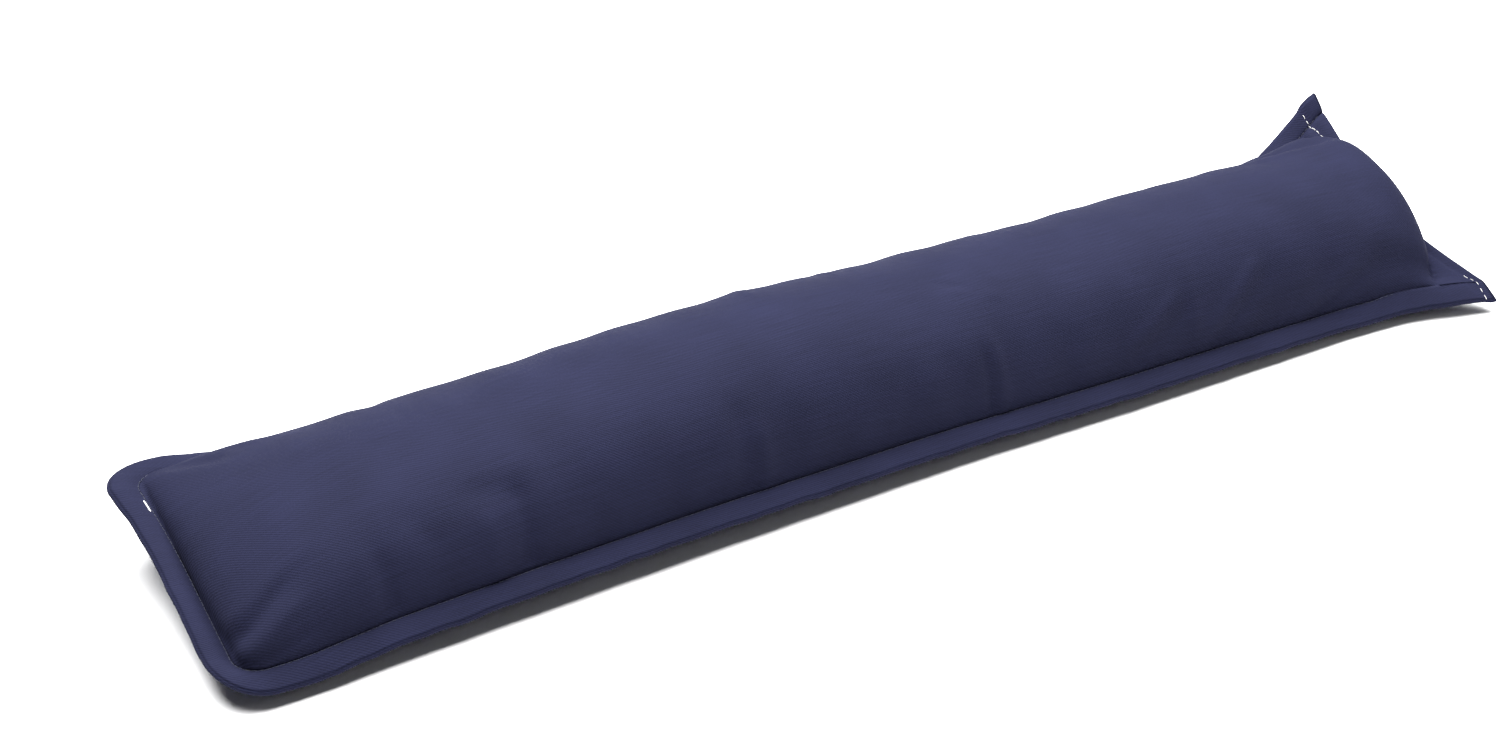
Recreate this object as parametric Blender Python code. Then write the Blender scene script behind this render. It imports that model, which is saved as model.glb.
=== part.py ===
# Draught excluder: a long navy twill bag, filled, with a topstitched flange round three sides
# and a hand-closed end with two square ears. Metres, +Z up, long side along X.
# Two rectangular panels meet at the seam. Each cross section is a loop over the upper panel
# and back under the lower one, and the sections are lofted from the left end to the right.

import math

import bmesh
import bpy
import numpy as np

MM = 0.001

# Driving dimensions, in millimetres
LENGTH = 883  # over the left flange and the right hem
FLANGE = 15  # from the topstitched seam to the pressed edge
HEM = 10  # from the hand-closed seam to the end edge at the right
CLOTH = 2.0  # two layers pressed flat
CORNER = 30  # outer radius of the two rounded corners at the left
LEFT_RISE = 120  # length over which the filling rises from the left seam
RIGHT_RISE = 53  # the same at the blunt right end
LEFT_POWER = 2.1  # how blunt each of these is: 2 is a quarter ellipse
RIGHT_POWER = 2.6
LEFT_EMPTY = 3  # how far the filling keeps out of the left corners
FRONT_EMPTY = 30  # how far it keeps out of the front ear, which lies flat
BACK_EMPTY = 23  # and out of the raised back one
CORNER_POWER = 2.5  # how sharply the corners end it
CROWN_LEAN = 0.35  # share of the half width by which the crown shifts to the raised ear
LEAN_REACH = 110  # length of the bag over which it does so
FULLNESS = 0.92  # power of the section's arch: 1 is half an ellipse, less is fuller
FLOOR_SAG = 9  # how far the filling would bulge below the floor if it could
LEAST_CROWN = 8  # the least that the filling lifts the upper panel over its seams
LEFT_EAR = 6  # how far the back corner stands out past the left edge
LEFT_REACH = 60  # length of the bag over which it fades out
RIGHT_DRAW = 26  # how far the filling draws in the middle of the right end
OVERHANG = 0.4  # share of that draw that the full crown escapes, so it bulges over the seam
EAR_LEAN = 13  # how far the raised back ear is drawn back towards the middle
RIGHT_REACH = 80  # length of the bag over which these build up
SHARP = 60  # degrees between two faces that are drawn as an edge

# Divisions of the loft
FLANGE_STEPS = 2
PANEL_STEPS = 20
CORNER_ROWS = 5
MIDDLE_ROWS = 50
RISE_ROWS = 14
RISE_ZONE = 64  # length at the right end that these close rows cover
BLEND = 12  # the rows of a table are rounded into each other over this length

# Cross sections: distance from the left edge, half width and height of the front seam and
# how far its flange hangs below level (degrees), the same at the back, and the crown's height
SECTION_COLUMNS = ("x", "front_y", "front_z", "front_hang", "back_y", "back_z", "back_hang", "crown")
SECTIONS = np.array((
    (0, 82.5, 14.5, 18, 80, 46, -8, 72),
    (15, 84.5, 15.5, 22, 80, 47, -8, 72),
    (50, 86, 16.5, 34, 79, 44, 5, 72),
    (100, 82, 19.5, 30, 77, 40, 25, 74),
    (200, 76.5, 20.5, 26, 76, 40, 35, 79),
    (300, 71.5, 20.5, 25, 76, 40, 35, 87),
    (390, 68, 19.5, 25, 76, 40, 35, 89),
    (470, 65, 18.5, 25, 76, 40, 35, 84),
    (600, 65, 17, 25, 75, 40, 35, 82),
    (700, 63, 16.2, 25, 74, 40, 35, 83),
    (780, 61.5, 15, 29, 75, 42, 25, 81),
    (825, 64.5, 16, 35, 77, 49, 15, 79),
    (850, 71, 16.5, 34, 78, 58, -20, 85),
    (868, 76, 16.5, 28, 79, 71.5, -45, 91),
    (883, 79.5, 14.5, 25, 80, 80, -45, 91),
))

# Folds pulled up from the front seam: place along the bag, how far it leans to the right for
# each millimetre up, half width, depth (a hollow is positive) and how far up it reaches
FOLD_COLUMNS = ("x", "lean", "half_width", "depth", "reach")
FOLDS = (
    (30, 0.6, 13, 6, 34),
    (62, 0.5, 14, -4, 34),
    (105, 0.1, 15, 3, 40),
    (178, 0.0, 18, 4, 45),
    (240, 0.0, 18, -2, 45),
    (334, -0.1, 18, 4, 45),
    (408, 0.0, 18, -2, 40),
    (455, 0.0, 18, 3, 40),
    (505, 0.0, 18, -4, 45),
    (600, -0.2, 20, 2, 40),
    (680, 0.3, 20, 3, 40),
    (745, 0.3, 20, -2, 35),
)


def column(name, x):
    """One column of SECTIONS at x: straight lines between its rows, rounded over BLEND."""
    near = x + np.linspace(-BLEND, BLEND, 9)
    return np.interp(near, SECTIONS[:, 0], SECTIONS[:, SECTION_COLUMNS.index(name)]).mean()


def quarter_round(distance, length, power):
    """Height of a superellipse's quarter, from 0 at its end to 1 at this length from it."""
    share = min(max(distance / length, 0), 1)
    return (1 - (1 - share) ** power) ** (1 / power)


def rise(x, across):
    """Share of the crown's full height: 0 on the end seams and in the corners, 1 between them."""
    corner = abs(across) ** CORNER_POWER
    empty = FRONT_EMPTY if across < 0 else BACK_EMPTY
    left = quarter_round(x - FLANGE - LEFT_EMPTY * corner, LEFT_RISE, LEFT_POWER)
    right = quarter_round(LENGTH - HEM - x - empty * corner, RIGHT_RISE, RIGHT_POWER)
    return left * right


def arch(x, across):
    """Height of the section's arch, 1 at its crown, which leans back near the right end."""
    near = max(1 - (LENGTH - x) / LEAN_REACH, 0)
    lean = CROWN_LEAN * near**2 * (3 - 2 * near)
    leaned = across - lean * (1 - across**2)
    return max(1 - leaned**2, 0) ** (FULLNESS / 2)


def rows_along():
    """Places of the cross sections, closer together where the outline turns."""
    quarter = np.linspace(0, math.pi / 2, CORNER_ROWS + 1)
    corner = CORNER * (1 - np.cos(quarter))
    middle = np.linspace(CORNER, LENGTH - HEM - RISE_ZONE, MIDDLE_ROWS + 1)[1:]
    turn = np.linspace(0, math.pi / 2, RISE_ROWS + 1)[1:]
    end = LENGTH - HEM - RISE_ZONE * (1 - np.sin(turn))
    hem = np.linspace(LENGTH - HEM, LENGTH, 3)[1:]
    return np.concatenate((corner, middle, end, hem))


def drawn_along(x, across, swell):
    """How far a point moves along X: the back left corner stands out, the right end is drawn in."""
    near_left = max(1 - x / LEFT_REACH, 0) ** 2
    near_right = max(1 - (LENGTH - x) / RIGHT_REACH, 0) ** 2
    between = 1 - abs(across) ** 1.5
    back = max(across, 0) ** 2
    outward = RIGHT_DRAW * between * (1 - OVERHANG * swell) + EAR_LEAN * back
    return -LEFT_EAR * back * near_left - outward * near_right


def fold_depth(x, height):
    """How far the crown is drawn in at x, at this height above the front seam."""
    depth = 0
    for row in FOLDS:
        fold = dict(zip(FOLD_COLUMNS, row))
        aside = (x - fold["x"] - fold["lean"] * height) / fold["half_width"]
        up = height / fold["reach"]
        depth += fold["depth"] * math.exp(-(aside**2) - up**2)
    return depth


def section(x):
    """Loop of points at x, in millimetres: upper panel front to back, then lower one back."""
    at = {name: column(name, x) for name in SECTION_COLUMNS}
    full = at["front_y"] + FLANGE
    narrowed = full
    if x < CORNER:
        narrowed = full - CORNER + math.sqrt(CORNER**2 - (CORNER - x) ** 2)
    front_hang, back_hang = math.radians(at["front_hang"]), math.radians(at["back_hang"])
    front_shift, back_shift = drawn_along(x, -1, 0), drawn_along(x, 1, 0)
    upper, lower = [], []
    for step in np.linspace(1, 1 / FLANGE_STEPS, FLANGE_STEPS):
        out = FLANGE * step
        y = -at["front_y"] - out * math.cos(front_hang)
        z = at["front_z"] - out * math.sin(front_hang)
        upper.append((x + front_shift, y, z + CLOTH / 2))
        lower.append((x + front_shift, y, z - CLOTH / 2))
    for turn in np.linspace(-math.pi / 2, math.pi / 2, PANEL_STEPS + 1):
        across = math.sin(turn)
        side = (1 + across) / 2
        y = (1 - side) * -at["front_y"] + side * at["back_y"]
        seam_z = (1 - side) * at["front_z"] + side * at["back_z"]
        swell = arch(x, across) * rise(x, across) if abs(across) < 1 else 0
        top = seam_z + CLOTH / 2 + max(at["crown"] - seam_z, LEAST_CROWN) * swell
        drawn_in = fold_depth(x, top - at["front_z"]) * swell if across < 0 else 0
        bottom = seam_z - CLOTH / 2 - (seam_z + FLOOR_SAG) * swell
        shift = drawn_along(x, across, swell)
        upper.append((x + shift, y + drawn_in, top - drawn_in / 2))
        lower.append((x + shift, y, max(bottom, 0)))
    for step in np.linspace(1 / FLANGE_STEPS, 1, FLANGE_STEPS):
        out = FLANGE * step
        y = at["back_y"] + out * math.cos(back_hang)
        z = at["back_z"] - out * math.sin(back_hang)
        upper.append((x + back_shift, y, z + CLOTH / 2))
        lower.append((x + back_shift, y, z - CLOTH / 2))
    squeeze = narrowed / full
    return [(px, py * squeeze, pz) for px, py, pz in upper + lower[::-1]]


def cotton_twill():
    material = bpy.data.materials.new("navy_cotton_twill")
    material.use_nodes = True
    shader = material.node_tree.nodes["Principled BSDF"]
    shader.inputs["Base Color"].default_value = (0.035, 0.037, 0.085, 1)
    shader.inputs["Roughness"].default_value = 0.9
    shader.inputs["Metallic"].default_value = 0
    return material


def filled_bag():
    """The whole bag as one closed solid, lofted through its sections and capped at both ends.

    Its origin is on the floor, under the middle of its length and width.
    """
    points = np.array([section(x) for x in rows_along()])
    lowest, highest = points.min(axis=(0, 1)), points.max(axis=(0, 1))
    points[:, :, :2] -= ((lowest + highest) / 2)[:2]
    built = bmesh.new()
    loops = [[built.verts.new(point) for point in row] for row in points * MM]
    count = len(loops[0])
    for here, following in zip(loops, loops[1:]):
        for k in range(count):
            after = (k + 1) % count
            built.faces.new((here[k], here[after], following[after], following[k]))
    half = count // 2
    for loop, turned in ((loops[0], True), (loops[-1], False)):
        for k in range(half - 1):
            corners = [loop[k], loop[k + 1], loop[count - 2 - k], loop[count - 1 - k]]
            built.faces.new(corners[::-1] if turned else corners)
    bmesh.ops.recalc_face_normals(built, faces=built.faces)
    mesh = bpy.data.meshes.new("filled_bag")
    built.to_mesh(mesh)
    built.free()
    mesh.shade_smooth()
    mesh.set_sharp_from_angle(angle=math.radians(SHARP))
    mesh.materials.append(cotton_twill())
    return bpy.data.objects.new("filled_bag", mesh)


def main():
    for old in list(bpy.data.objects):
        bpy.data.objects.remove(old, do_unlink=True)
    excluder = bpy.data.collections.new("draught_excluder")
    bpy.context.scene.collection.children.link(excluder)
    excluder.objects.link(filled_bag())


main()
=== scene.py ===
# Draught excluder: a long navy twill bag, filled and topstitched, with a hand-closed end.
# The bag is one cushion made of two panels, and its threads are small pieces on it.
import math

import bpy
import numpy as np
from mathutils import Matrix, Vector


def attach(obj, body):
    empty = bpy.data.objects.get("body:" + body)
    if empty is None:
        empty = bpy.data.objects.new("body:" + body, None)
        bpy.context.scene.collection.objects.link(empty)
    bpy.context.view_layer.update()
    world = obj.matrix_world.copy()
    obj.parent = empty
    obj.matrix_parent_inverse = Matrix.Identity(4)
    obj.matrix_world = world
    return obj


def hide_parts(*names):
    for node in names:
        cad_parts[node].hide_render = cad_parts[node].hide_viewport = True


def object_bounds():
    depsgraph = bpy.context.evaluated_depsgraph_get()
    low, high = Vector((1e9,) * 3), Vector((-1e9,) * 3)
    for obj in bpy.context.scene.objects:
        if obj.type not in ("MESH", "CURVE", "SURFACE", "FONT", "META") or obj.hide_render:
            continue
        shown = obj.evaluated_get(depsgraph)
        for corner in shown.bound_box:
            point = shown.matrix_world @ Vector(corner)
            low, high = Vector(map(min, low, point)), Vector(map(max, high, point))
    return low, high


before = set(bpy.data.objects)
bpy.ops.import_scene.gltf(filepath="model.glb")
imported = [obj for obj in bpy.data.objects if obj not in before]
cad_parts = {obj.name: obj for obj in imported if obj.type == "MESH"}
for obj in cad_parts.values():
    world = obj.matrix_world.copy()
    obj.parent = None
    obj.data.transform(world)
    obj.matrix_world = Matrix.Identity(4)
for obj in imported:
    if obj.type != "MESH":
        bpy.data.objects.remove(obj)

cadLow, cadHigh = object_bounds()
mm = 0.001

# What a user would change about the bag, in millimetres unless it says otherwise
bag = {
    "length": 883,  # over the left flange and the right hem
    "flange": 15,  # from the topstitching to the pressed edge
    "hem": 10,  # from the white closing seam to the end edge, in the middle
    "hemSkew": 6,  # by how much that is less at the front and more at the back
    "cornerRadius": 30,  # of the flange's edge at the left
    "frontReach": 98.4,  # how far the front flange reaches from the bag's middle line
    "leftRise": 120,  # length over which the filling rises from the left seam
    "leftPower": 2.1,  # how blunt it is there: 2 is a quarter ellipse
    "leftEmpty": 3,  # how far the filling keeps out of the left corners
    "rightRise": 53,
    "rightPower": 2.6,
    "earPower": 0.6,  # by how much that is less above the front ear, where the filling slopes
    "earSoft": 13,  # and the length over which it starts to rise there
    "frontEmpty": 25,  # how far it keeps out of the front ear, which lies flat
    "backEmpty": 23,  # and out of the raised back one
    "cornerPower": 2.5,  # how sharply the corners end it
    "crownLean": 0.35,  # share of the half width by which the crown shifts to the raised ear
    "leanReach": 110,  # length over which it does so
    "fullness": 0.92,  # power of the section's arch: 1 is half an ellipse, less is fuller
    "floorSag": 9,  # how far the filling would bulge below the floor if it could
    "leastCrown": 8,  # the least that it lifts the upper panel over the seams
    "leftEar": 6,  # how far the back corner stands out past the left edge
    "leftReach": 60,  # length over which it fades out
    "rightDraw": 26,  # how far the filling draws in the middle of the right end
    "overhang": 0.4,  # share of that draw that the full crown escapes
    "earLean": 13,  # how far the raised back ear is drawn towards the middle
    "rightReach": 80,
    "cornerColumns": 12,  # mesh columns in the round corners, and along the rest of the bag
    "columns": 322,
    "hemColumns": 5,  # of which these are in the hem
    "rows": 88,  # mesh rows from the front seam over to the back one
    "blend": 12,  # the rows of the section table are rounded into each other over this length
}

# One row for each cross section: the place along the bag, the distance of the front seam from
# the middle, its height and how far its flange hangs (degrees), the same at the back, the crown
sectionColumns = ("x", "frontY", "frontZ", "frontHang", "backY", "backZ", "backHang", "crown")
sections = np.array((
    (0, 82.5, 14.5, 18, 80, 46, -8, 72),
    (15, 84.5, 15.5, 22, 80, 47, -8, 72),
    (50, 86, 16.5, 34, 79, 44, 5, 72),
    (100, 82, 19.5, 30, 77, 40, 25, 74),
    (200, 76.5, 20.5, 26, 76, 40, 35, 79),
    (300, 71.5, 20.5, 25, 76, 40, 35, 87),
    (390, 68, 19.5, 25, 76, 40, 35, 89),
    (470, 65, 18.5, 25, 76, 40, 35, 84),
    (600, 65, 17, 25, 75, 40, 35, 82),
    (700, 63, 16.2, 25, 74, 40, 35, 83),
    (780, 61.5, 15, 29, 75, 42, 25, 81),
    (825, 64.5, 16, 35, 77, 49, 15, 79),
    (850, 71, 16.5, 34, 78, 58, -20, 85),
    (868, 76, 16.5, 28, 79, 71.5, -45, 91),
    (883, 79.5, 14.5, 25, 80, 80, -45, 91),
))

# The cloth's own relief: how deep the seams pinch it and how unevenly the filling lies
cloth = {
    "pinched": 0.55,  # half the thickness under a seam's thread
    "puffed": 2.3,  # and where the turnings fill the flange
    "edgeThin": 0.4,  # share of that which the pressed edge loses
    "pinchReach": 2.4,
    "looseFrom": 803,  # the seam of the front ear starts to pinch less here
    "looseFade": 30,  # length over which it does so
    "looseWidth": 12,  # and it pinches no more than at this distance from a seam
    "leftCurl": 3.5,  # how far the left flange's outer half curls up
    "curlReach": 6,
    "lump": 0.45,  # depth of the filling's soft lumps
    "lumpLength": 52,
    "pucker": 0.3,  # depth of the fine puckers that the stitching draws in beside the seams
    "puckerLength": 10.5,
    "puckerReach": 8,
    "puckerDrawn": 0.25,  # they run up from the seam: that way they change only this much as fast
    "puckerPatch": 60,  # they come and go over this length
    "floorHold": 8,  # height below which the floor smooths the lower panel
    "held": 4,  # the seams hold the cloth still over this distance
    "edgeWave": 0.5,  # how far the flange's edge waves up and down
    "waveLength": 47,
    "shortWave": 0.4,  # share of a second, shorter wave in it
    "shortLength": 17,
    "edgeWander": 0.35,  # how far the edge wanders in and out
    "wanderLength": 38,
    "hemStep": 1.1,  # how far the hem's corner stands out past the flange beside it
    "hemSharp": 1.25,  # how suddenly it does so, for each millimetre
}

# What starts each uneven pattern, so that it is the same each run
seeds = {"upper": 10, "lower": 20, "flange": 5, "stray": 31, "stitches": 50}

# Creases in the upper panel: from and to, each as the place along the bag and the way up over
# the crown from the front seam (from the back one where it is negative), then the half width,
# the depth (a ridge is negative) and how far past its ends a crease fades out
creaseColumns = ("x0", "up0", "x1", "up1", "halfWidth", "depth", "fade")
creases = (
    (17, 26, 60, 55, 7, -1.1, 12),  # pleats that run out of the front left corner
    (20, 20, 42, 37, 5, 2.4, 14),
    (22, 10, 48, 26, 5, -1.5, 12),
    (28, 4, 52, 11, 4, 1.2, 10),
    (92, 8, 94, 34, 6, -0.9, 10),  # folds that rise from the front seam, from left to right
    (102, 3, 100, 30, 7, 1.7, 12),
    (132, 36, 125, 50, 8, 0.9, 10),
    (166, 5, 166, 32, 7, -1.3, 10),
    (186, 4, 187, 42, 6.5, 2.0, 10),
    (184, 48, 164, 54, 8, 1.0, 10),
    (168, 64, 195, 62, 8, -0.4, 10),
    (215, 12, 232, 22, 9, -0.9, 12),
    (278, 5, 280, 26, 8, 0.9, 10),
    (324, 4, 328, 46, 8, 2.1, 14),
    (339, 5, 339, 32, 5, -1.4, 10),
    (358, 6, 360, 36, 9, 0.8, 12),
    (441, 6, 443, 40, 8, 0.9, 12),
    (465, 6, 463, 34, 8, -0.8, 12),
    (498, 5, 498, 34, 3.5, 1.8, 10),
    (507, 2, 505, 42, 4.5, -1.6, 12),
    (494, 97, 512, 82, 3, 0.9, 5),  # a small wrinkle on the shoulder
    (501, 88, 521, 76, 3.5, -0.7, 5),
    (555, 5, 557, 30, 9, 0.9, 12),  # more folds from the front seam
    (604, 20, 638, 40, 5, -1.1, 10),
    (612, 12, 648, 31, 5, 0.9, 10),
    (654, 18, 656, 64, 3.5, -0.7, 10),
    (668, 17, 704, 45, 5, -1.2, 10),
    (676, 9, 712, 36, 5, 1.0, 10),
    (745, 9, 781, 27, 5, -1.1, 10),
    (752, 2, 790, 19, 4, 1.0, 10),
    (812, 22, 850, 14, 11, 3.0, 14),  # hollow at the root of the front ear
    (786, 166, 838, 148, 9, 4.5, 14),  # where the crown meets the raised back ear
    (788, 148, 815, 140, 6, -1.2, 12),
    (852, 168, 858, 190, 3.5, 2.2, 8),  # pleats in that ear
    (862, 172, 866, 192, 3, -1.5, 6),
    (385, 150, 386, 172, 4, -0.6, 12),  # faint ones over the crown
    (446, 146, 447, 166, 4, -0.6, 12),
    (28, -6, 52, -26, 6, 1.6, 10),  # out of the back left corner, and up from the back seam
    (52, -5, 76, -20, 6, -1.0, 10),
    (150, -5, 148, -26, 8, 1.4, 10),
    (262, -4, 266, -22, 7, -1.1, 10),
    (345, -5, 342, -28, 8, 1.6, 10),
    (470, -4, 473, -22, 7, 1.2, 10),
    (566, -5, 563, -26, 8, -1.2, 10),
    (668, -5, 671, -24, 7, 1.4, 10),
    (752, -6, 742, -26, 7, 1.2, 10),
)


def column(name, along):
    # one column of the table at these places, rounded between its rows
    near = np.asarray(along, float)[..., None] + np.linspace(-bag["blend"], bag["blend"], 9)
    return np.interp(near, sections[:, 0], sections[:, sectionColumns.index(name)]).mean(-1)


def quarterRound(distance, length, power):
    share = np.clip(distance / length, 0, 1)
    return (1 - (1 - share) ** power) ** (1 / power)


def rise(along, across):
    # share of the crown's full height: 0 on the end seams and in the corners
    corner = np.abs(across) ** bag["cornerPower"]
    toLeft = along - bag["flange"] - bag["leftEmpty"] * corner
    empty = np.where(across < 0, bag["frontEmpty"], bag["backEmpty"])
    toRight = bag["length"] - bag["hem"] - along - empty * corner
    left = quarterRound(toLeft, bag["leftRise"], bag["leftPower"])
    ear = np.clip(-across, 0, 1) ** 2
    toRight = np.maximum(toRight, 0)
    toRight = toRight * (1 - ear * bag["earSoft"] / (toRight + bag["earSoft"]))
    rightPower = bag["rightPower"] - bag["earPower"] * ear
    return left * quarterRound(toRight, bag["rightRise"], rightPower)


def archAt(along, across):
    # height of a section's arch, 1 at its crown, which leans to the back near the right end
    near = np.clip(1 - (bag["length"] - along) / bag["leanReach"], 0, 1)
    lean = bag["crownLean"] * near**2 * (3 - 2 * near)
    leaned = across - lean * (1 - across**2)
    return np.clip(1 - leaned**2, 0, 1) ** (bag["fullness"] / 2)


def drawnAlong(along, across, swell):
    # the back left corner stands out, and the filling draws in the right end
    nearLeft = np.clip(1 - along / bag["leftReach"], 0, None) ** 2
    nearRight = np.clip(1 - (bag["length"] - along) / bag["rightReach"], 0, None) ** 2
    back = np.clip(across, 0, None) ** 2
    between = 1 - np.abs(across) ** 1.5
    outward = bag["rightDraw"] * between * (1 - bag["overhang"] * swell) + bag["earLean"] * back
    return -bag["leftEar"] * back * nearLeft - outward * nearRight


def hemAt(across):
    # place of the closing seam, which slants only near the two ears
    return bag["length"] - bag["hem"] - bag["hemSkew"] * across**5


def halfCloth(fromSeam, width=0):
    # half the thickness of the layers at this distance from a seam and this width of the flange
    full = (cloth["puffed"] - cloth["pinched"]) * (1 - cloth["edgeThin"] * (width / bag["flange"]) ** 2)
    return cloth["pinched"] + full * (1 - np.exp(-np.abs(fromSeam) / cloth["pinchReach"]))


def looseSeam(along):
    # counts as a distance from the front seam, where that pinches nothing
    return cloth["looseWidth"] * np.clip((along - cloth["looseFrom"]) / cloth["looseFade"], 0, 1)


def ripple(place, length, seed):
    # an uneven wave between -1 and 1 of about this length, the same each run
    shift = np.random.default_rng(seed).uniform(0, 2 * math.pi, 3)
    waves = [np.sin(2 * math.pi * place / (length * k) + s) for k, s in zip((1, 0.61, 1.73), shift)]
    return sum(waves) / 3


def lumps(along, up, length, seed):
    # the same in both directions of a panel, by waves that run six ways
    chance = np.random.default_rng(seed)
    total = np.zeros_like(along)
    for turn in np.linspace(0, math.pi, 6, endpoint=False):
        turn += chance.uniform(-0.2, 0.2)
        wave = length * chance.uniform(0.6, 1.5)
        place = along * math.cos(turn) + up * math.sin(turn)
        total += np.sin(2 * math.pi * place / wave + chance.uniform(0, 2 * math.pi))
    return total / 3


def creaseDepth(along, up, fromBack):
    total = np.zeros_like(along)
    for row in creases:
        crease = dict(zip(creaseColumns, row))
        runX, runUp = crease["x1"] - crease["x0"], crease["up1"] - crease["up0"]
        length = math.hypot(runX, runUp)
        fromX = along - crease["x0"]
        fromUp = (fromBack if crease["up0"] < 0 else up) - crease["up0"]
        forward = (fromX * runX + fromUp * runUp) / length
        aside = (fromX * runUp - fromUp * runX) / length / crease["halfWidth"]
        past = np.maximum(np.maximum(-forward, forward - length), 0) / crease["fade"]
        total += crease["depth"] * np.exp(-(aside**2) - past**2)
    return total


def relief(x, up, fromBack, z, upper):
    # how far the cloth lies inside the smooth form: creases, soft lumps and fine puckers
    fromSeam = np.minimum(np.minimum(up, -fromBack), x - bag["flange"])
    across = 2 * up / (up - fromBack) - 1
    toEnd = np.abs(hemAt(across) - x)
    filled = rise(x, across)
    seed = seeds["upper" if upper else "lower"]
    soft = cloth["lump"] * lumps(x, up, cloth["lumpLength"], seed) * filled
    drawn = lumps(x, up * cloth["puckerDrawn"], cloth["puckerLength"], seed + 1)
    drawn = drawn * lumps(x, up, cloth["puckerPatch"], seed + 2)
    fine = cloth["pucker"] * drawn * np.exp(-np.minimum(fromSeam, toEnd) / cloth["puckerReach"])
    still = 1 - np.exp(-((fromSeam / cloth["held"]) ** 2))
    still = still * (1 - np.exp(-((toEnd / cloth["held"]) ** 2)))
    if upper:
        return (creaseDepth(x, up, fromBack) + soft + fine) * still
    return (soft + fine) * still * np.clip(z / cloth["floorHold"], 0, 1)


def gridNormals(points):
    normals = np.cross(np.gradient(points, axis=0), np.gradient(points, axis=1))
    return normals / np.maximum(np.linalg.norm(normals, axis=2, keepdims=True), 1e-9)


def panelGrid(upper):
    # one panel inside the stitching: columns along the bag, rows from front to back
    inner = bag["cornerRadius"] - bag["flange"]
    turn = np.linspace(0, math.pi / 2, bag["cornerColumns"], endpoint=False)
    corner = bag["flange"] + inner * (1 - np.cos(turn))
    end = bag["length"] - bag["hem"]
    rest = np.linspace(bag["flange"] + inner, end, bag["columns"] - bag["hemColumns"])
    hem = np.linspace(end, bag["length"], bag["hemColumns"] + 1)[1:]
    along = np.concatenate((corner, rest, hem))
    turns = np.linspace(-math.pi / 2, math.pi / 2, bag["rows"] + 1)
    x, across = np.meshgrid(along, np.sin(turns), indexing="ij")
    share = (1 + across) / 2
    toCorner = np.clip(inner - (along - bag["flange"]), 0, inner)
    inset = inner - np.sqrt(inner**2 - toCorner**2)
    frontY = (column("frontY", along) - inset)[:, None]
    backY = (column("backY", along) - inset)[:, None]
    y = share * backY - (1 - share) * frontY
    middle = (1 - share) * column("frontZ", along)[:, None] + share * column("backZ", along)[:, None]
    swell = archAt(x, across) * rise(x, across)
    swell[:, (0, -1)] = 0
    fromSeam = np.minimum(np.minimum(y + frontY + looseSeam(x), backY - y), x - bag["flange"])
    fromSeam = np.minimum(fromSeam, np.abs(hemAt(across) - x))
    if upper:
        crown = np.maximum(column("crown", along)[:, None] - middle, bag["leastCrown"])
        z = middle + halfCloth(fromSeam) + crown * swell
    else:
        z = np.maximum(middle - halfCloth(fromSeam) - (middle + bag["floorSag"]) * swell, 0)
    points = np.stack((x + drawnAlong(x, across, swell), y, z), -1)
    steps = np.linalg.norm(np.diff(points, axis=1), axis=2)
    up = np.concatenate((np.zeros((len(along), 1)), np.cumsum(steps, 1)), 1)
    fromBack = up - up[:, -1:]
    points = points - gridNormals(points) * relief(x, up, fromBack, z, upper)[..., None]
    return points, np.stack((x, (up + fromBack) / 2), -1), along, across


# The flange's cross section: widths from the stitching outwards, then its edge, a pressed fold
# with the faint groove of the seam in it, each as a share of the half thickness and a bulge
flangeWidths = (0.8, 1.7, 3, 5, 7.5, 10, 12, 13.4)
flangeEdge = (
    (0.97, 0), (0.86, 0.7), (0.6, 1.3), (0.3, 1.6), (0, 1.45),
    (-0.3, 1.6), (-0.6, 1.3), (-0.86, 0.7), (-0.97, 0),
)
# The same for the two lips of the closed right end, with the gap between them
hemEdge = ((0.85, 0.6), (0.55, 0.9), (0.25, 0.7), (0, 0.1), (-0.25, 0.7), (-0.55, 0.9), (-0.85, 0.6))


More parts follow.
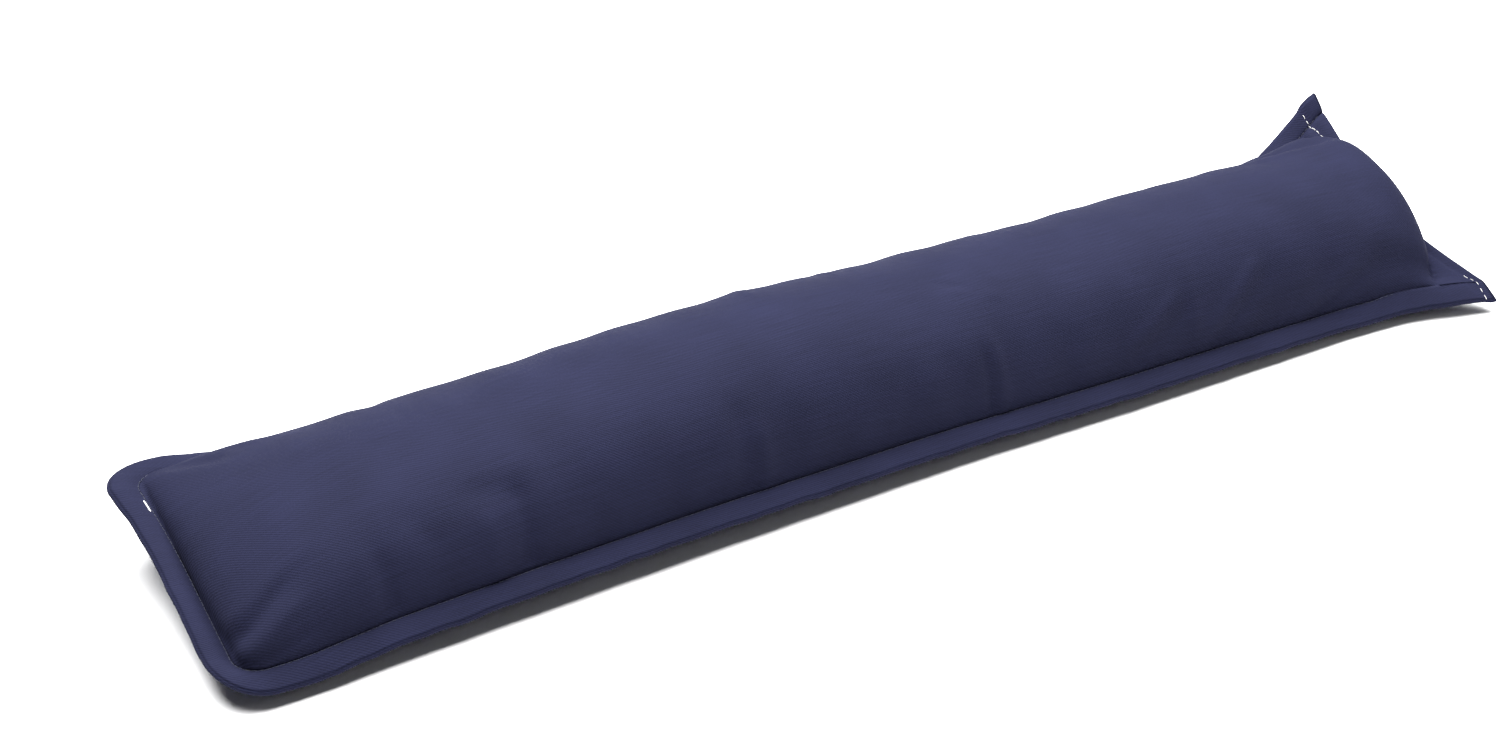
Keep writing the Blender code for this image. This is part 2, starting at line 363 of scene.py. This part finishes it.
def flangeStrip(upper, lower, flat, along, across):
    # round the bag from the right end along the front, up the left side and back along the back
    n, m = upper.shape[:2]
    front, left = [(i, 0) for i in range(n - 1, 0, -1)], [(0, j) for j in range(m)]
    ci, cj = np.array(front + left + [(i, m - 1) for i in range(1, n)]).T
    seam = (upper[ci, cj] + lower[ci, cj]) / 2
    place, side = along[ci], across[ci, cj]
    plan = seam[:, :2].copy()
    plan[:, 0] -= drawnAlong(place, side, 0)
    tangent = np.gradient(plan, axis=0)
    tangent[0], tangent[-1] = (-1, 0), (1, 0)
    out = np.stack((-tangent[:, 1], tangent[:, 0]), -1)
    out /= np.linalg.norm(out, axis=1, keepdims=True)
    out = -out if out[0, 1] > 0 else out
    hang = np.where(out[:, 1] < 0, column("frontHang", place), column("backHang", place))
    hang = np.radians(hang * np.abs(out[:, 1]) ** 1.5)
    curl = cloth["leftCurl"] * np.clip(-out[:, 0], 0, 1) ** 2
    length = np.concatenate(([0], np.cumsum(np.linalg.norm(np.diff(seam, axis=0), axis=1))))
    fromHem = hemAt(side) - place
    hemmed = (1 - np.tanh(fromHem * cloth["hemSharp"])) / 2
    inside = bag["flange"] - max(bulge for _, bulge in flangeEdge)
    profile = [(w, 1, 0) for w in flangeWidths]
    profile += [(inside, share, bulge) for share, bulge in flangeEdge]
    profile += [(w, -1, 0) for w in reversed(flangeWidths)]
    loose = looseSeam(place) * (side < 0)
    waves = ripple(length, cloth["waveLength"], seeds["flange"])
    waves = waves + cloth["shortWave"] * ripple(length, cloth["shortLength"], seeds["flange"] + 1)
    wander = cloth["edgeWander"] * ripple(length, cloth["wanderLength"], seeds["flange"] + 2)
    rows, coords = [], []
    for w, share, bulge in profile:
        reach = w + bulge
        outer = (reach / bag["flange"]) ** 2
        half = np.minimum(halfCloth(w + loose, w), halfCloth(fromHem, w)) * share
        wave = cloth["edgeWave"] * waves * outer
        lift = wave + curl * (1 - np.exp(-((reach / cloth["curlReach"]) ** 2)))
        waved = reach + outer * (wander + cloth["hemStep"] * hemmed)
        level = waved * np.cos(hang) + half * np.sin(hang)
        x = plan[:, 0] + drawnAlong(place + reach * out[:, 0], side, 0) + out[:, 0] * level
        y = plan[:, 1] + out[:, 1] * level
        z = seam[:, 2] - waved * np.sin(hang) + half * np.cos(hang) + lift
        rows.append(np.stack((x, y, z), -1))
        coords.append(flat[ci, cj] + reach * out)
    return (ci, cj), np.stack(rows, 1), np.stack(coords, 1)


def quads(grid, flip=False):
    corners = (grid[:-1, :-1], grid[1:, :-1], grid[1:, 1:], grid[:-1, 1:])
    corners = np.stack(corners, -1).reshape(-1, 4)
    return (corners[:, ::-1] if flip else corners).tolist()


def makeBag():
    # the two panels and the flange, joined along the stitching
    upper, upperFlat, along, across = panelGrid(True)
    lower, lowerFlat, _, _ = panelGrid(False)
    (ci, cj), strip, stripFlat = flangeStrip(upper, lower, upperFlat, along, across)
    n, m = upper.shape[:2]
    k, r = strip.shape[:2]
    points = np.concatenate([part.reshape(-1, 3) for part in (upper, lower, strip)])
    flat = np.concatenate([part.reshape(-1, 2) for part in (upperFlat, lowerFlat, stripFlat)])
    upperAt = np.arange(n * m).reshape(n, m)
    lowerAt = upperAt + n * m
    stripAt = np.arange(k * r).reshape(k, r) + 2 * n * m
    stripAt = np.concatenate((upperAt[ci, cj][:, None], stripAt, lowerAt[ci, cj][:, None]), 1)
    faces = quads(upperAt) + quads(lowerAt, True) + quads(stripAt, True)
    # the right end: each upper point is joined to the one below it, round two folded lips
    half = r // 2 + 1
    topLine = np.concatenate((stripAt[0, half - 1:0:-1], upperAt[-1], stripAt[-1, 1:half]))
    lowLine = np.concatenate((stripAt[0, half + 1:-1], lowerAt[-1], stripAt[-1, -2:half:-1]))
    lips, lipsFlat = [], []
    for share, bulge in hemEdge:
        lip = points[topLine] * (1 + share) / 2 + points[lowLine] * (1 - share) / 2
        lips.append(lip + (bulge, 0, 0))
        lipsFlat.append(flat[topLine] + (bulge, 0))
    lipAt = np.arange(len(topLine) * len(hemEdge)).reshape(len(topLine), -1) + len(points)
    lipAt = np.concatenate((topLine[:, None], lipAt, lowLine[:, None]), 1)
    faces += quads(lipAt, True)
    faces += [(a, b, stripAt[0, half]) for a, b in zip(lipAt[0], lipAt[0, 1:])]
    faces += [(b, a, stripAt[-1, half]) for a, b in zip(lipAt[-1], lipAt[-1, 1:])]
    points = np.concatenate((points, np.stack(lips, 1).reshape(-1, 3)))
    flat = np.concatenate((flat, np.stack(lipsFlat, 1).reshape(-1, 2)))
    shape = {
        "upper": upper, "lower": lower, "strip": strip, "round": (ci, cj),
        "along": along, "across": across,
    }
    return points, flat, faces, shape


def placed(points):
    # from the bag's millimetres to the frame: the CAD box says where its left and front edges lie
    leftEdge = cadLow.x + bag["leftEar"] * mm
    middle = cadLow.y + bag["frontReach"] * mm
    return points * mm + (leftEdge, middle, 0)


def meshPiece(name, vertices, faces, material):
    mesh = bpy.data.meshes.new(name)
    mesh.from_pydata(vertices.tolist(), [], faces)
    mesh.shade_smooth()
    mesh.materials.append(material)
    piece = bpy.data.objects.new(name, mesh)
    bpy.context.scene.collection.objects.link(piece)
    return piece


def hexColour(text):
    # sRGB hex to the linear numbers that shaders take
    parts = [int(text[k:k + 2], 16) / 255 for k in (1, 3, 5)]
    return [p / 12.92 if p <= 0.04045 else ((p + 0.055) / 1.055) ** 2.4 for p in parts] + [1]


def addNode(material, kind, settings=None, links=None):
    # one node with its settings, and with its links as input: output socket
    node = material.node_tree.nodes.new(kind)
    for key, value in (settings or {}).items():
        if isinstance(key, int) or key in node.inputs:
            node.inputs[key].default_value = value
        else:
            setattr(node, key, value)
    for key, socket in (links or {}).items():
        material.node_tree.links.new(socket, node.inputs[key])
    return node


def newMaterial(name, finish):
    # a Principled material: finish holds the settings of its own sockets
    material = bpy.data.materials.new(name)
    material.use_nodes = True
    shader = material.node_tree.nodes["Principled BSDF"]
    for key, value in finish.items():
        shader.inputs[key].default_value = value
    return material, shader


def colourAndRelief(material, shader, tone, shade, height, strength, depth):
    # the colour between the tone's dark and light, and a bump of this depth in metres
    link = material.node_tree.links.new
    tones = {"data_type": "RGBA", 6: hexColour(tone["dark"]), 7: hexColour(tone["light"])}
    link(addNode(material, "ShaderNodeMix", tones, {0: shade}).outputs[2], shader.inputs["Base Color"])
    settings = {"Strength": strength, "Distance": depth}
    bump = addNode(material, "ShaderNodeBump", settings, {"Height": height})
    link(bump.outputs["Normal"], shader.inputs["Normal"])


# Cotton twill, piece-dyed navy and pressed: a matt face with fine slanting ribs, paler where the
# raised fibres catch the light at a low angle, and streaks where single yarns took less dye
twill = {
    "dark": "#0e0f1c",
    "light": "#22243d",
    "ribPitch": 1.4,  # mm. The real ribs are about 1.1 mm apart, too fine to show in the render
    "ribAngle": 40,  # degrees from the bag's length, down to the front
    "ribUneven": 0.6,  # how crooked the ribs run
    "yarn": (40, 0.9),  # mm, length and width of the streaks
    "cloud": 45,  # mm, of the faint cloudiness
    "grain": 1.2,  # mm, of the fibres' speckle
    "shares": (0.5, 0.35, 0.4, 0.25),  # of streaks, clouds, grain and ribs in the shade
    "middle": -0.25,  # brings their sum to a half
    "bump": 0.3,
    "bumpDepth": 0.3,  # mm
    "finish": {
        "Roughness": 0.88, "Specular IOR Level": 0.09,
        "Sheen Weight": 0.03, "Sheen Roughness": 0.45, "Sheen Tint": hexColour("#a6a8dc"),
    },
}


def makeTwill():
    material, shader = newMaterial("cottonTwill", twill["finish"])
    uv = addNode(material, "ShaderNodeUVMap", {"uv_map": "flatCloth"}).outputs["UV"]
    turn = {"Rotation": (0, 0, math.radians(twill["ribAngle"] - 90))}
    turned = addNode(material, "ShaderNodeMapping", turn, {"Vector": uv}).outputs["Vector"]
    scale = math.pi / 10 / (twill["ribPitch"] * mm)
    settings = {"Scale": scale, "Distortion": twill["ribUneven"], "Detail": 2, "Detail Scale": 1.2}
    ribs = addNode(material, "ShaderNodeTexWave", settings, {"Vector": turned}).outputs["Fac"]
    size = {"Scale": [1 / (side * mm) for side in twill["yarn"]] + [1]}
    yarns = addNode(material, "ShaderNodeMapping", size, {"Vector": uv}).outputs["Vector"]
    parts = []
    for place, scale in ((yarns, 1), (uv, 1 / (twill["cloud"] * mm)), (uv, 1 / (twill["grain"] * mm))):
        noise = addNode(material, "ShaderNodeTexNoise", {"Scale": scale, "Detail": 3}, {"Vector": place})
        parts.append(noise.outputs["Fac"])
    parts.append(ribs)
    shade = addNode(material, "ShaderNodeValue").outputs[0]
    shade.default_value = twill["middle"]
    for part, share in zip(parts, twill["shares"]):
        settings = {"operation": "MULTIPLY_ADD", 1: share}
        shade = addNode(material, "ShaderNodeMath", settings, {0: part, 2: shade}).outputs[0]
    settings = {"operation": "MULTIPLY_ADD", 1: 0.5}
    height = addNode(material, "ShaderNodeMath", settings, {0: parts[2], 2: ribs}).outputs[0]
    colourAndRelief(material, shader, twill, shade, height, twill["bump"], twill["bumpDepth"] * mm)
    return material


# Sewing thread: the navy one is spun polyester, a little glossy, and the white one is soft cotton
threads = {
    "navy": {
        "dark": "#10131f", "light": "#262a44",
        "finish": {"Roughness": 0.6, "Specular IOR Level": 0.4},
    },
    "white": {
        "dark": "#c9c8c4", "light": "#f4f3ef",
        "finish": {"Roughness": 0.8, "Sheen Weight": 0.2},
    },
    "twist": 0.7,  # mm, one turn of its plies
    "plyUneven": 1.5,  # how crooked the plies run
    "plyBump": 0.5,
    "plyDepth": 0.1,  # mm
    "stands": 0.6,  # how far a stitch's middle stands over the cloth, in half thicknesses
    "dips": 1.6,  # and how much lower its ends are
    "stitch": 3.0,  # mm. Topstitching: length, gap and thickness of the thread
    "gap": 0.8,
    "thick": 0.5,
    "topstitched": 818,  # it ends here at the front, where the ear's hem is turned in
    "handStitch": (2.2, 4.2),  # the hand-sewn seam: shortest and longest stitch and gap
    "handGap": (0.6, 2.8),
    "handThick": 0.38,
    "handStart": 0.2,  # from the front corner
    "sunk": (25, 60),  # between these distances from the front corner it runs inside the fold
    "handStray": 0.35,  # how far a hand stitch strays from the line
    "strayRows": 8.5,  # in waves as long as this many rows of the mesh
    "looseFrom": 47,  # the loose stitch at the left: from here to there across the bag
    "looseTo": 56,
    "looseThick": 0.9,
    "looseFaces": (-0.2, 0, 1),  # the way that the flange faces there
}


def makeThread(name, tone):
    # plies that wind round each other show as fine slanting light and dark along the thread
    material, shader = newMaterial(name, tone["finish"])
    place = addNode(material, "ShaderNodeTexCoord").outputs["Object"]
    scale = math.pi / 10 / (threads["twist"] * mm)
    settings = {"bands_direction": "DIAGONAL", "Scale": scale, "Distortion": threads["plyUneven"]}
    plies = addNode(material, "ShaderNodeTexWave", settings, {"Vector": place}).outputs["Fac"]
    colourAndRelief(material, shader, tone, plies, plies, threads["plyBump"], threads["plyDepth"] * mm)
    return material


def unit(vectors):
    return vectors / np.maximum(np.linalg.norm(vectors, axis=-1, keepdims=True), 1e-9)


def lengthsAlong(line):
    return np.concatenate(([0], np.cumsum(np.linalg.norm(np.diff(line, axis=0), axis=1))))


def stitchTubes(line, normals, spans, thick, steps=7, sides=6):
    # one closed tube for each span of this line; its ends dip into the cloth
    lengths = lengthsAlong(line)
    share = np.linspace(0, 1, steps)
    start, end = np.array(spans).T[:, :, None]
    at = start + (end - start) * share
    centre = np.stack([np.interp(at, lengths, line[:, c]) for c in range(3)], -1)
    normal = unit(np.stack([np.interp(at, lengths, normals[:, c]) for c in range(3)], -1))
    lift = thick / 2 * (threads["stands"] - threads["dips"] * np.abs(2 * share - 1) ** 4)
    centre = centre + normal * lift[None, :, None]
    ahead = unit(np.gradient(centre, axis=1))
    aside = unit(np.cross(ahead, normal))
    above = np.cross(aside, ahead)
    turn = np.linspace(0, 2 * math.pi, sides, endpoint=False)[:, None]
    ring = aside[:, :, None] * np.cos(turn) + above[:, :, None] * np.sin(turn)
    points = centre[:, :, None] + ring * thick / 2
    faces = []
    for tube in np.arange(len(spans) * steps * sides).reshape(len(spans), steps, sides):
        faces += quads(np.concatenate((tube, tube[:, :1]), 1))
        faces += [tube[0, ::-1].tolist(), tube[-1].tolist()]
    return points.reshape(-1, 3), faces


def threadPiece(name, parts, material):
    # the tubes of several lines as one piece that rides on the bag
    points, faces, count = [], [], 0
    for some, theirs in parts:
        points.append(some)
        faces += [[count + k for k in face] for face in theirs]
        count += len(some)
    piece = meshPiece(name, placed(np.concatenate(points)), faces, material)
    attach(piece, "root")
    print(name, "made:", len(faces), "faces")


def topstitchLines(shape):
    # along the valley between the panels and the flange, above and below
    ci, cj = shape["round"]
    n, m = shape["upper"].shape[:2]
    inI, inJ = np.clip(ci, 2, n - 1), np.clip(cj, 2, m - 3)
    onEar = (shape["along"][ci] > threads["topstitched"]) & (cj == 0)
    for panel, near, far in ((shape["upper"], 0, 3), (shape["lower"], -1, -4)):
        seam = panel[ci, cj]
        outward, inward = shape["strip"][:, far] - seam, panel[inI, inJ] - seam
        line, normals = (seam + shape["strip"][:, near]) / 2, unit(unit(outward) + unit(inward))
        yield line[~onEar], normals[~onEar]


def closingLines(shape):
    # across both sides at the hem: over the front flange, the panel and the back flange
    along, across = shape["along"], shape["across"]
    n, count = len(along), len(flangeWidths)
    strip = shape["strip"]
    for panel, rows, side in (
        (shape["upper"], list(range(count)), 1),
        (shape["lower"], list(range(-1, -count - 1, -1)), -1),
    ):
        front, back = strip[n - 2::-1, rows[::-1]], strip[1 - n:, rows]
        grid = np.concatenate((front, panel[1:], back), 1)
        places = hemAt(np.concatenate((np.full(count, -1), across[0], np.full(count, 1))))
        line = np.array([
            [np.interp(place, along[1:], grid[:, k, axis]) for axis in range(3)]
            for k, place in enumerate(places)
        ])
        yield line, unit(np.cross((side, 0, 0), np.gradient(line, axis=0)))


def evenSpans(total):
    step = threads["stitch"] + threads["gap"]
    return [(k * step, k * step + threads["stitch"]) for k in range(int(total // step))]


def handSpans(total, seed):
    chance = np.random.default_rng(seed)
    spans, at = [], threads["handStart"]
    while at < total - threads["handStitch"][1]:
        end = at + chance.uniform(*threads["handStitch"])
        if not threads["sunk"][0] < at < threads["sunk"][1]:
            spans.append((at, end))
        at = end + chance.uniform(*threads["handGap"])
    return spans


cottonTwill = makeTwill()
vertices, flat, faces, shape = makeBag()
cushion = meshPiece("cushion", placed(vertices), faces, cottonTwill)
layer = cushion.data.uv_layers.new(name="flatCloth")
corners = np.empty(len(cushion.data.loops), np.int32)
cushion.data.loops.foreach_get("vertex_index", corners)
layer.data.foreach_set("uv", (flat * mm)[corners].astype(np.float32).ravel())
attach(cushion, "root")
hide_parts("filled_bag")
print("cushion made:", len(cushion.data.vertices), "points")

parts = []
for line, normals in topstitchLines(shape):
    parts.append(stitchTubes(line, normals, evenSpans(lengthsAlong(line)[-1]), threads["thick"]))
threadPiece("topstitching", parts, makeThread("spunPolyesterThread", threads["navy"]))

cottonThread = makeThread("cottonThread", threads["white"])
parts = []
for side, (line, normals) in enumerate(closingLines(shape)):
    stray = ripple(np.arange(len(line)), threads["strayRows"], seeds["stray"] + side)
    line = line + np.outer(threads["handStray"] * stray, (1, 0, 0))
    spans = handSpans(lengthsAlong(line)[-1], seeds["stitches"] + side)
    parts.append(stitchTubes(line, normals, spans, threads["handThick"]))
threadPiece("closingSeam", parts, cottonThread)

# one white stitch was left on the left flange, beside the seam
nearBack = (shape["round"][0] == 0) & (shape["strip"][:, 1, 1] > 0)
line = shape["strip"][nearBack, 1]
spans = [np.interp((threads["looseFrom"], threads["looseTo"]), line[:, 1], lengthsAlong(line))]
normals = np.tile(threads["looseFaces"], (len(line), 1))
parts = [stitchTubes(line, normals, spans, threads["looseThick"])]
threadPiece("looseStitch", parts, cottonThread)


# The floor and the lights, in metres and watts
studio = {
    "floor": "#f6f6f6",  # paper, lit until it is far past white in the picture
    "floorSize": 14,
    "world": 0.08,
    "lamps": {
        "overhead": {"place": (0.14, 0.48, 1.78), "aim": (0.15, 0, 0), "size": (2.6, 1.8), "power": 206},
        "side": {"place": (1.3, -1.1, 0.9), "aim": (0.3, 0, 0), "size": (0.9, 0.7), "power": 3.5},
    },
}


def makeStudio():
    paper = {"Base Color": hexColour(studio["floor"]), "Roughness": 0.9}
    material, _ = newMaterial("whitePaper", paper)
    size = studio["floorSize"] / 2
    square = np.array(((-size, -size, 0), (size, -size, 0), (size, size, 0), (-size, size, 0)))
    meshPiece("floor", square, [(0, 1, 2, 3)], material)
    for name, lamp in studio["lamps"].items():
        light = bpy.data.lights.new(name, "AREA")
        light.shape = "RECTANGLE"
        light.size, light.size_y = lamp["size"]
        light.energy = lamp["power"]
        holder = bpy.data.objects.new(name, light)
        holder.location = lamp["place"]
        aim = Vector(lamp["aim"]) - Vector(lamp["place"])
        holder.rotation_euler = aim.to_track_quat("-Z", "Y").to_euler()
        bpy.context.scene.collection.objects.link(holder)
    world = bpy.data.worlds.new("studioAir")
    world.use_nodes = True
    air = world.node_tree.nodes["Background"].inputs
    air["Color"].default_value = (1, 1, 1, 1)
    air["Strength"].default_value = studio["world"]
    bpy.context.scene.world = world
    bpy.context.scene.view_settings.view_transform = "Standard"


# The camera of the photograph, in metres, degrees and, for its lens and sensor, millimetres: it
# looks down across the bag from its front left
view = {"place": (-0.6985, -1.1183, 0.8198), "down": 30.7, "turn": -29.2, "lens": 60, "sensor": 36}


def makeCamera():
    camera = bpy.data.objects.new("camera", bpy.data.cameras.new("camera"))
    camera.location = view["place"]
    camera.rotation_euler = (math.radians(90 - view["down"]), 0, math.radians(view["turn"]))
    camera.data.lens = view["lens"]
    camera.data.sensor_width = view["sensor"]
    bpy.context.scene.collection.objects.link(camera)
    bpy.context.scene.camera = camera


makeStudio()
makeCamera()
print("studio and camera made")
